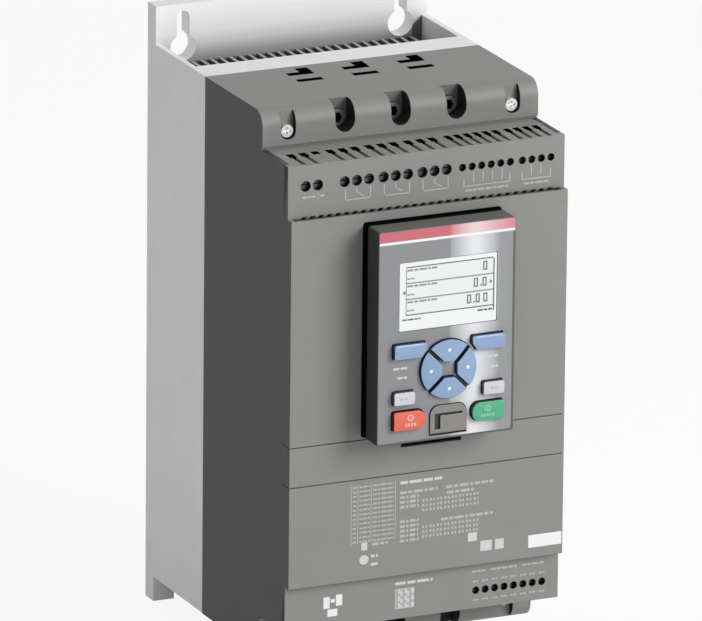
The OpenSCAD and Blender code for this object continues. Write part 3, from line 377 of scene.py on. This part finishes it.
face_finish("heat_sink", fin, lambda n, c: in_chamber(c) and abs(n.z) < MOSTLY)
face_finish("heat_sink", fin_end, lambda n, c: in_chamber(c) and n.z > SQUARELY)
face_finish("heat_sink", plate, on_plate)

# Terminal covers: painted shade in the cable entries in the end face, and in the tool slots and screw
# grooves from the front
cover_front = line_cover.front
entry_back, entry_front, entry_deep = line_cover.back + 3.9, line_cover.back + 27.1, 2.6
phase_pitch = 30.3
phases = (-phase_pitch, 0, phase_pitch)
cover_screws = (-61.0, 61.0)
slot_half_w, slot_deep = 5.4, 10.5
groove_half_w, groove_deep = 4.1, 4.0
recesses = [(x, slot_half_w, slot_deep) for x in phases]
recesses += [(x, groove_half_w, groove_deep) for x in cover_screws]
recess_h, recess_play, rounded_edge = 16, 1.5, 8.5


def in_entry(n, c, end, way):
    below = (end - c.z) * way
    return TOUCH < below < entry_deep and entry_back < c.depth < entry_front and abs(n.z) < MOSTLY


def in_recess(n, c, end, way):
    """Walls of a slot or groove, without the cover's own rounded front edge."""
    below = (end - c.z) * way
    on_wall = on_flank(n, c) and TOUCH < below < recess_h and (abs(n.x) > SLIGHTLY or below > rounded_edge)
    return on_wall and any(abs(c.x - x) < half_w
                           and cover_front - deep - recess_play < c.depth < cover_front - TOUCH
                           for x, half_w, deep in recesses)


def on_slot_floor(n, c):
    in_slot = any(abs(c.x - x) < slot_half_w for x in phases)
    return in_slot and abs(cover_front - slot_deep - c.depth) < TOUCH


for name, end, way in (("line_terminal_cover", line_cover.head, 1),
                       ("motor_terminal_cover", motor_cover.foot, -1)):
    face_finish(name, black_and_painted_shade, in_entry, end, way)
    face_finish(name, recess, in_recess, end, way)
face_finish("line_terminal_cover", slot_floor_painted_shade, on_slot_floor)
face_finish("motor_terminal_cover", recess, on_slot_floor)


# Lug screws: painted shade behind the head's front
def behind_head(n, c, head):
    return c.depth < head - TOUCH


for name in finishes[lug_steel_painted_shade]:
    face_finish(name, black_and_painted_shade, behind_head, sides(name).front)

# Terminal blocks: painted shade in the conductor pockets in the ledge and in the screw wells in the front
block_front = upper_block.front
pocket_back, pocket_front = block_front - 20.6, block_front - 13.9
pocket_deep, pocket_half_w = 20, sink.right - 3
well_deep, well_r = 12.5, 3.0
upper_wells, lower_wells = upper_block.head - 10.8, lower_block.foot + 9.4


def in_pocket(n, c, ledge, way):
    below = (ledge - c.z) * way
    return abs(c.x) < pocket_half_w and TOUCH < below < pocket_deep and pocket_back < c.depth < pocket_front


def in_well(n, c, z):
    inside = block_front - well_deep < c.depth < block_front - TOUCH
    return inside and on_flank(n, c) and abs(c.z - z) < well_r


face_finish("upper_terminal_block", black_and_painted_shade, in_pocket, upper_block.head, 1)
face_finish("upper_terminal_block", recess, in_well, upper_wells)
face_finish("lower_terminal_block", black_and_painted_shade, in_pocket, lower_block.foot, -1)
face_finish("lower_terminal_block", recess, in_well, lower_wells)


# Printed marks: flat outlines a hair in front of the face that carries them

PRINT, THIN_PRINT = 0.03, 0.02
ROUND_STEPS = 20
# Unreadable text: the shortest bar in mm, and spaces and letters as shares of the height
SHORTEST_WORD = 0.4
WORD_SPACE = 0.55
LETTER_PITCH, LETTER_HALF = 0.95, 0.34


def marks(name, outlines, depth, mat, body):
    """One mesh of flat outlines, each a list of (x, z) points in mm, at a depth from the wall."""
    verts, faces = [], []
    for points in outlines:
        faces.append(tuple(range(len(verts), len(verts) + len(points))))
        verts.extend((x * MM, -depth * MM, z * MM) for x, z in points)
    mesh = bpy.data.meshes.new(name)
    mesh.from_pydata(verts, [], faces)
    mesh.materials.append(mat)
    obj = bpy.data.objects.new(name, mesh)
    scene.collection.objects.link(obj)
    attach(obj, body)


def rect(x0, x1, z0, z1):
    return [(x0, z0), (x1, z0), (x1, z1), (x0, z1)]


def stroke(x0, z0, x1, z1, w):
    """Straight line of width w."""
    run = math.hypot(x1 - x0, z1 - z0)
    ox, oz = -(z1 - z0) / run * w / 2, (x1 - x0) / run * w / 2
    return [(x0 - ox, z0 - oz), (x1 - ox, z1 - oz), (x1 + ox, z1 + oz), (x0 + ox, z0 + oz)]


def polar(x, z, r, turn):
    """Point at a radius around (x, z), with the angle as a share of a full turn."""
    return x + r * math.cos(2 * math.pi * turn), z + r * math.sin(2 * math.pi * turn)


def disc(x, z, r):
    return [polar(x, z, r, i / ROUND_STEPS) for i in range(ROUND_STEPS)]


def ring(x, z, r, w):
    """Circle of radius r drawn with a line of width w."""
    inner, outer = r - w / 2, r + w / 2
    out = []
    for i in range(ROUND_STEPS):
        start, end = i / ROUND_STEPS, (i + 1) / ROUND_STEPS
        out.append([polar(x, z, inner, start), polar(x, z, outer, start), polar(x, z, outer, end),
                    polar(x, z, inner, end)])
    return out


def hollow_rect(x0, x1, z0, z1, w):
    """Rectangle drawn with a line of width w."""
    return [rect(x0, x1, z0, z0 + w), rect(x0, x1, z1 - w, z1), rect(x0, x0 + w, z0 + w, z1 - w),
            rect(x1 - w, x1, z0 + w, z1 - w)]


def words(x0, x1, z, h, pattern):
    """A line of unreadable text: bars of the lengths in pattern, repeated from x0 until x1."""
    out, x, i = [], x0, 0
    while x < x1 - SHORTEST_WORD:
        run = min(pattern[i % len(pattern)], x1 - x)
        out.append(rect(x, x + run, z - h / 2, z + h / 2))
        x += run + WORD_SPACE * h
        i += 1
    return out


def letters(x, z, h, count):
    """Unreadable letters: a row of bars, centred on (x, z)."""
    step, half = LETTER_PITCH * h, LETTER_HALF * h
    starts = [x + (i - (count - 1) / 2) * step for i in range(count)]
    return [rect(s - half, s + half, z - h / 2, z + h / 2) for s in starts]


# Display: places (u, v) are shares of the window's width and height from its left upper corner

SCREEN_UP, TEXT_UP, LINES_UP = 0.04, 0.06, 0.08
DIGIT_W, DIGIT_H, DIGIT_LINE = 2.2, 4.6, 0.62
ARROW_L, ARROW_HALF = 1.4, 1.1


def at(u, v):
    return window.left + u * (window.right - window.left), window.head - v * (window.head - window.foot)


def area(u0, u1, v0, v1):
    (x0, z1), (x1, z0) = at(u0, v0), at(u1, v1)
    return rect(x0, x1, z0, z1)


def zero(u, v):
    """The digit 0 with its left upper corner at (u, v)."""
    x, z = at(u, v)
    return hollow_rect(x, x + DIGIT_W, z - DIGIT_H, z, DIGIT_LINE)


def arrow(u, v, way):
    """Small arrow head that points left (-1) or right (1), with its tip at (u, v)."""
    x, z = at(u, v)
    return [(x, z), (x - ARROW_L * way, z + ARROW_HALF * way), (x - ARROW_L * way, z - ARROW_HALF * way)]


def caption(u0, u1, v, h, pattern):
    return words(at(u0, 0)[0], at(u1, 0)[0], at(0, v)[1], h, pattern)


page_left, page_right, page_top, page_foot = 0.068, 0.966, 0.07, 0.77
row_h = (page_foot - page_top) / 3
page = area(page_left, page_right, page_top, page_foot)
marks("screen", [page], window.front + SCREEN_UP, screen, "keypad")

half_rule = 0.008
right_line = page_right - 0.001, page_right + 0.011, 0.08, 0.85
left_line = page_left - 0.004, page_left + 0.004, 0.086, 0.78
arrows = (0.032, 0.437, -1), (0.956, 0.42, 1)
digits, digit_drop = ((0.859,), (0.764, 0.853), (0.696, 0.785, 0.864)), 0.04
decimal_points, point_w, point_h = ((0.832, 0.445), (0.76, 0.68)), 0.014, 0.023
lines = [area(page_left, page_right, v - half_rule, v + half_rule) for v in (page_top, page_foot)]
lines.append(area(*right_line))
lines += [arrow(*place) for place in arrows]
for row, places in enumerate(digits):
    for u in places:
        lines += zero(u, page_top + digit_drop + row * row_h)
for u, v in decimal_points:
    lines.append(area(u, u + point_w, v, v + point_h))
lines += caption(0.03, 0.22, 0.837, 0.8, (2.4, 3.3, 1.8))
lines += caption(0.806, 0.96, 0.825, 0.9, (2.8, 1.9, 2.2))
marks("screen_lines", lines, window.front + LINES_UP, ink, "keypad")

caption_left, name_drop, unit_drop, row_rule = 0.078, 0.045, 0.168, 0.02
lines = [area(*left_line)]
for row in range(3):
    v = page_top + row * row_h
    lines += caption(caption_left, 0.398, v + name_drop, 1.0, (3.1, 2.2, 4.0, 1.6))
    lines += caption(caption_left, 0.15, v + unit_drop, 0.8, (1.5, 2.1))
    if row:
        lines.append(area(page_left, page_right, v - half_rule, v - half_rule + row_rule))
marks("screen_text", lines, window.front + TEXT_UP, soft_ink, "keypad")

# Keypad film: stripe with its painted sheen, white line below it, painted shade as a dark rim at the right
# and below, legends beside the keys
film_front = film_sides.front + PRINT
stripe_h, line_h, film_edge = 5.1, 1.3, 0.1
stripe_left, stripe_right = film_sides.left + film_edge, film_sides.right - film_edge
stripe_foot = film_sides.head - film_edge - stripe_h
line_foot = stripe_foot - line_h
band = rect(stripe_left, stripe_right, stripe_foot, stripe_foot + stripe_h)
marks("stripe", [band], film_front, stripe, "keypad")
band = rect(stripe_left, stripe_right, line_foot, stripe_foot)
marks("stripe_line", [band], film_front, white_print, "keypad")

rim_w, rim_h, rim_r, rim_steps = 1.1, 0.8, 1.6, 8
rim_x, rim_z = film_sides.right - rim_w, film_sides.foot + rim_h
turns = [-0.25 * i / rim_steps for i in range(rim_steps + 1)]
corner = [polar(rim_x - rim_r, rim_z + rim_r, rim_r, turn) for turn in turns]
rim = [rect(rim_x, film_sides.right, rim_z, line_foot)]
rim.append(rect(film_sides.left, film_sides.right, film_sides.foot, rim_z))
rim.append(corner + [(rim_x, rim_z)])
marks("film_rim_painted_shade", rim, film_front, film_rim_painted_shade, "keypad")

hub_x = (sides("key_left").left + sides("key_right").right) / 2
hub_z = (sides("key_down").foot + sides("key_up").head) / 2
# Legends: from and to beside the hub, height over it, height of the letters, lengths of the words
legends = []
for x0, x1, up, h, pattern in ((-29.5, -21.9, 2.6, 1.1, (3.4, 3.8)), (-27.0, -21.9, -2.3, 1.2, (2.6, 2.0)),
                               (22.1, 27.7, 3.3, 1.1, (2.4, 2.8)), (23.5, 27.7, -2.1, 1.1, (2.2, 1.8))):
    legends += words(hub_x + x0, hub_x + x1, hub_z + up, h, pattern)
marks("legends", legends, film_front, pale_print, "keypad")

# Four-way keys: a dot on each, and dark gaps between them
dot_r, dot_at, ring_sink = 0.95, 10.0, 0.3
for name, x, z in (("key_up", 0, 1), ("key_down", 0, -1), ("key_left", -1, 0), ("key_right", 1, 0)):
    spot = disc(hub_x + dot_at * x, hub_z + dot_at * z, dot_r)
    marks(name + "_dot", [spot], sides(name).front - ring_sink, key_dot, name)
gap_in, gap_out, gap_w = 6.4, 15.3, 1.0
gaps = []
for turn in (1 / 8, 3 / 8, 5 / 8, 7 / 8):
    gaps.append(stroke(*polar(hub_x, hub_z, gap_in, turn), *polar(hub_x, hub_z, gap_out, turn), gap_w))
marks("key_gaps", gaps, film_sides.front + THIN_PRINT, key_gap, "keypad")

# Soft keys: a painted highlight along the upper edge
lit_from, lit_w, lit_drop, lit_h, lit_sink = 2.05, 14.2, 1.05, 0.8, 0.16
for name, way in (("soft_key_left", 1), ("soft_key_right", -1)):
    key = sides(name)
    outer = (key.left if way > 0 else key.right) + lit_from * way
    lit_head = key.head - lit_drop
    painted_highlight_edge = rect(*sorted((outer, outer + lit_w * way)), lit_head - lit_h, lit_head)
    marks(name + "_painted_highlight", [painted_highlight_edge], key.front - lit_sink, key_painted_highlight, name)

# Lower keys: a ring over unreadable letters on the large ones, a word on the small ones
ring_up, ring_r, bar_half_h, name_down, sign_shift = 1.7, 1.4, 0.9, 1.9, 0.3
x, z = middle("stop_key")
sign = ring(x + sign_shift, z + ring_up, ring_r, 0.8)
sign += letters(x + sign_shift, z - name_down, 1.7, 4)
marks("stop_mark", sign, sides("stop_key").front + THIN_PRINT, red_mark, "stop_key")
x, z = middle("start_key")
sign = ring(x - sign_shift, z + ring_up, ring_r, 0.6)
sign.append(rect(x - 2 * sign_shift, x, z + ring_up - bar_half_h, z + ring_up + bar_half_h))
sign += letters(x - sign_shift, z - name_down, 1.6, 5)
marks("start_mark", sign, sides("start_key").front + THIN_PRINT, green_mark, "start_key")
x, z = middle("local_key")
sign = words(x - 2.7, x + 2.3, z, 1.0, (2.1, 1.7))
marks("local_mark", sign, sides("local_key").front + PRINT, grey_print, "local_key")
x, z = middle("help_key")
sign = words(x - 1.7, x + 1.7, z, 1.2, (1.2, 1.4))
marks("help_mark", sign, sides("help_key").front + PRINT, grey_print, "help_key")

# Upper terminal block: contact signs under the relay terminals, brackets under the signal terminals
block_print = block_front + PRINT
group_pitch, relay_pitch, signal_pitch = 21.0, 6.8, 5.2
groups_left = upper_block.left + 10.0
line_w, thin_w, tick_w = 0.55, 0.5, 0.45
sign_head, sign_foot = upper_block.head - 14.5, upper_block.head - 20.5
stem_at, stem_h, blade_w, blade_h, overlap = 6.2, 2.6, 3.7, 2.2, 0.2
bracket_head, bracket_foot = upper_block.head - 16.5, upper_block.head - 20.7
bracket_line = bracket_foot + 0.1
signal_groups = ((20.2, 45.2), (51.8, 67.4))
tick_head, tick_foot, names_z = bracket_head + 2.8, bracket_foot + 1.8, bracket_foot - 2.2


def contact_sign(left):
    """Change-over contact under three relay terminals."""
    right, stem = left + 2 * relay_pitch, left + stem_at
    low, blade_head = sign_foot + overlap, sign_head - stem_h + overlap
    return [stroke(left, sign_head, left, sign_foot, line_w),
            stroke(right, sign_foot, right, sign_head, line_w),
            stroke(left - overlap, low, right + overlap, low, line_w),
            stroke(stem, sign_head, stem, sign_head - stem_h, line_w),
            stroke(stem, blade_head, stem + blade_w, blade_head - blade_h, thin_w)]


def bracket(left, right):
    """Bracket under a row of signal terminals, with a tick at each pitch and a line of text below."""
    out = [stroke(x, bracket_head, x, bracket_foot, thin_w) for x in (left, right)]
    out.append(stroke(left, bracket_line, right, bracket_line, thin_w))
    for i in range(1, round((right - left) / signal_pitch)):
        x = left + i * signal_pitch
        out.append(stroke(x, tick_head, x, tick_foot, tick_w))
    return out + words(left + 1, right - 1, names_z, 0.9, (3.2, 2.1, 4.0))


lines = []
for group in range(1, 4):
    lines += contact_sign(groups_left + group * group_pitch)
supply_left, supply_right, supply_line = (upper_block.left + across for across in (8, 20, 16.2))
lines += words(supply_left, supply_right, bracket_head, 1.0, (2.2, 1.4))
lines.append(stroke(supply_line, sign_head, supply_line, sign_head - 3.5, thin_w))
for left, right in signal_groups:
    lines += bracket(left, right)
marks("upper_block_print", lines, block_print, grey_print, "unit")

# Lower front cover: rating block as unreadable lines, generic squares and a white sticker
label_print = label_cover.front + PRINT
label_head = label_cover.head


def label_words(x0, x1, drop, h, pattern):
    """A line of unreadable text, its middle a drop below the cover's upper edge."""
    return words(x0, x1, label_head - drop, h, pattern)


text_left, text_right, text_h, row_pitch = -14.6, -4.0, 1.45, 2.5
headings = ((text_left, 6.0, 9.5), (10.4, 36.8, 9.4), (11.0, 25.8, 12.4), (7.9, 36.4, 26.0))
text = []
for x0, x1, drop in headings:
    text += label_words(x0, x1, drop, text_h, (3.6, 2.2, 5.0, 1.7, 2.9))
for drop, rows in ((12.0, 3), (24.6, 5)):
    for row in range(rows):
        text += label_words(text_left, text_right, drop + row_pitch * row, text_h, (2.6, 1.2, 3.1, 0.9))

# Two tables of short numbers
table_left, table_rows, table_columns, column_pitch, cell_w = text_right + 1.6, 3, 8, 4.0, 2.8
for drop in (14.9, 28.7):
    for row in range(table_rows):
        for column in range(table_columns):
            x = table_left + column_pitch * column
            text += label_words(x, x + cell_w, drop + row_pitch * row, text_h, (1.1, 1.2))

# List in three columns between upright lines
list_drop, list_rows, list_pitch, list_h, list_line = 3.65, 13, 2.38, 0.8, 0.35
list_columns = ((-40.4, -38.4, (2.0,)), (-36.8, -31.0, (1.4, 2.6)), (-29.6, -18.0, (2.4, 1.3, 3.1)))
for row in range(list_rows):
    for x0, x1, pattern in list_columns:
        text += label_words(x0, x1, list_drop + list_pitch * row, list_h, pattern)
list_end = list_drop + list_pitch * list_rows - 1.2
for x in (-41.2, -37.6, -30.4, -17.2):
    text.append(stroke(x, label_head - list_drop + 1, x, label_head - list_end, list_line))
text += label_words(-29.7, -21.0, list_end + 0.9, text_h, (3.6, 2.2))
marks("rating_block", text, label_print, grey_print, "unit")

# Heading, icon with its words, and three plain squares
icon_x, icon_drop, icon_r = -34.0, 41.9, 2.5
icon_z = label_head - icon_drop
heads = label_words(text_left, 8.4, 4.3, 1.5, (4.2, 6.8, 5.1, 4.4))
heads.append(disc(icon_x, icon_z, icon_r))
heads.append(rect(icon_x - 1.5, icon_x + 1.7, icon_z + 5.0, icon_z + 9.0))
for drop, pattern in ((icon_drop - 1.5, (2.0, 1.2)), (icon_drop + 2.8, (3.6,))):
    heads += label_words(icon_x + 3.8, icon_x + 7.6, drop, text_h, pattern)
for x0, x1, drop, h in ((22.8, 27.8, 35.2, 4.5), (29.7, 36.0, 40.2, 5.4), (37.8, 42.6, 40.2, 5.4)):
    heads.append(rect(x0, x1, label_head - drop - h, label_head - drop))
marks("rating_heads", heads, label_print, pale_print, "unit")

sticker_w, sticker_h = 18.3, 6.6
sticker_right, sticker_foot = label_cover.right - 0.6, label_cover.foot + 5.1
sticker = rect(sticker_right - sticker_w, sticker_right, sticker_foot, sticker_foot + sticker_h)
marks("sticker", [sticker], label_print, white_print, "unit")

# Lower terminal block: square with cells, a sign of plain blocks and legends
square_left, square_foot, square = text_left, lower_block.foot + 5.2, 10.35
cell, cell_pitch, cells, cell_margin = 1.1, 1.22, 8, 0.4
lines = [rect(square_left, square_left + square, square_foot, square_foot + square)]
lines += words(square_left, square_left + 20.4, square_foot + 13.2, 1.5, (5.8, 4.4, 6.6))
marks("lower_block_print", lines, block_print, pale_print, "unit")

# Cells in a plain pattern that stands for nothing
grid = []
for i in range(cells):
    for j in range(cells):
        if (i * i + 3 * j + i * j) % 3 == 0:
            x = square_left + cell_margin + cell_pitch * i
            z = square_foot + cell_margin + cell_pitch * j
            grid.append(rect(x, x + cell, z, z + cell))
marks("code_cells", grid, block_print + PRINT, code_print, "unit")

sign = []
for x, w, up, h in ((-53.8, 3.4, 5.2, 6.0), (-47.0, 3.4, 6.0, 5.8), (-49.8, 2.2, 8.0, 1.8),
                    (-51.6, 5.4, 0.8, 3.8)):
    sign.append(rect(x, x + w, square_foot + up, square_foot + up + h))
marks("pictogram", sign, block_print, white_print, "unit")

signals, last_signal = 8, lower_block.right - 9.0
groups_z, above_z, below_z = (lower_block.foot + up for up in (19.4, 14.2, 4.4))
lines = []
for x0, x1 in ((27.4, 35.0), (38.0, 52.0), (55.0, 67.0)):
    lines += words(x0, x1, groups_z, 1.0, (2.6, 1.8, 3.4))
for i in range(signals):
    x = last_signal - signal_pitch * i
    lines += words(x - 1.6, x + 1.8, above_z, 0.9, (1.5, 1.1))
    lines += words(x - 1.5, x + 1.8, below_z, 0.9, (1.2, 1.4))
marks("lower_block_legends", lines, block_print, grey_print, "unit")

# Camera: place in metres, turn in radians and long lens fitted to the photo
camera_at = (-2.256248, -5.007058, 1.685247)
yaw, pitch, roll = 0.429769, 0.300008, 0.0100605
lens_mm, sensor_mm, sight = 579.6, 36, 100
camera = bpy.data.objects.new("camera", bpy.data.cameras.new("camera"))
scene.collection.objects.link(camera)
scene.camera = camera
forward = Vector((math.sin(yaw) * math.cos(pitch), math.cos(yaw) * math.cos(pitch), -math.sin(pitch)))
level_across = Vector((math.cos(yaw), -math.sin(yaw), 0))
level_up = level_across.cross(forward)
across = math.cos(roll) * level_across + math.sin(roll) * level_up
up = math.cos(roll) * level_up - math.sin(roll) * level_across
camera.matrix_world = Matrix.Translation(camera_at) @ Matrix((across, up, -forward)).transposed().to_4x4()
camera.data.sensor_width = sensor_mm
camera.data.lens = lens_mm
camera.data.clip_end = sight


# Pale floor under the plate's lower edge and soft studio light

FLOOR_WHITE = 0.9
SKY_STRENGTH = 0.26


def shown_white(tree, plain, white, share):
    """The plain shader, mixed with a share of white for the camera, reflections and clear glass."""
    path = tree.nodes.new("ShaderNodeLightPath")
    looks = path.outputs["Is Camera Ray"]
    for kind in ("Is Glossy Ray", "Is Transmission Ray"):
        either = tree.nodes.new("ShaderNodeMath")
        either.operation = "MAXIMUM"
        tree.links.new(looks, either.inputs[0])
        tree.links.new(path.outputs[kind], either.inputs[1])
        looks = either.outputs["Value"]
    part = tree.nodes.new("ShaderNodeMath")
    part.operation = "MULTIPLY"
    part.inputs[1].default_value = share
    tree.links.new(looks, part.inputs[0])
    mix = tree.nodes.new("ShaderNodeMixShader")
    tree.links.new(part.outputs["Value"], mix.inputs["Fac"])
    tree.links.new(plain, mix.inputs[1])
    tree.links.new(white, mix.inputs[2])
    return mix.outputs["Shader"]


def white_light(tree, kind, strength):
    """Shader of white light, for a surface or the world."""
    node = tree.nodes.new(kind)
    node.inputs["Color"].default_value = (1, 1, 1, 1)
    node.inputs["Strength"].default_value = strength
    return node.outputs[0]


floor_reach, floor_level = 12.0, start_box[0].z - MM
corners = [(x, y, floor_level) for x, y in rect(-floor_reach, floor_reach, -floor_reach, floor_reach)]
floor_mesh = bpy.data.meshes.new("floor")
floor_mesh.from_pydata(corners, [], [(0, 1, 2, 3)])
floor = bpy.data.objects.new("floor", floor_mesh)
scene.collection.objects.link(floor)
floor_mat = material("floor", (250, 250, 250), 0.9, mottle=0.0)
floor_mesh.materials.append(floor_mat)
tree = floor_mat.node_tree
plain_floor = tree.nodes["Principled BSDF"].outputs["BSDF"]
shown_floor = shown_white(tree, plain_floor, white_light(tree, "ShaderNodeEmission", 1.0), FLOOR_WHITE)
tree.links.new(shown_floor, tree.nodes["Material Output"].inputs["Surface"])

world = bpy.data.worlds.new("studio")
scene.world = world
world.use_nodes = True
tree = world.node_tree
sky = white_light(tree, "ShaderNodeBackground", SKY_STRENGTH)
shown_sky = shown_white(tree, sky, white_light(tree, "ShaderNodeBackground", 1.0), 1.0)
tree.links.new(shown_sky, tree.nodes["World Output"].inputs["Surface"])


def area_light(name, place, target, size, power):
    """Square soft box, turned to its target."""
    data = bpy.data.lights.new(name, "AREA")
    data.shape = "SQUARE"
    data.size = size
    data.energy = power
    lamp = bpy.data.objects.new(name, data)
    scene.collection.objects.link(lamp)
    lamp.location = place
    lamp.rotation_euler = (Vector(target) - Vector(place)).to_track_quat("-Z", "Y").to_euler()


area_light("key", place=(1.6, -2.2, 1.3), target=(0, -0.1, 0), size=1.6, power=66)
area_light("top", place=(0.3, -0.2, 1.9), target=(0, -0.1, 0.1), size=1.6, power=5)

scene.view_settings.view_transform = "Standard"
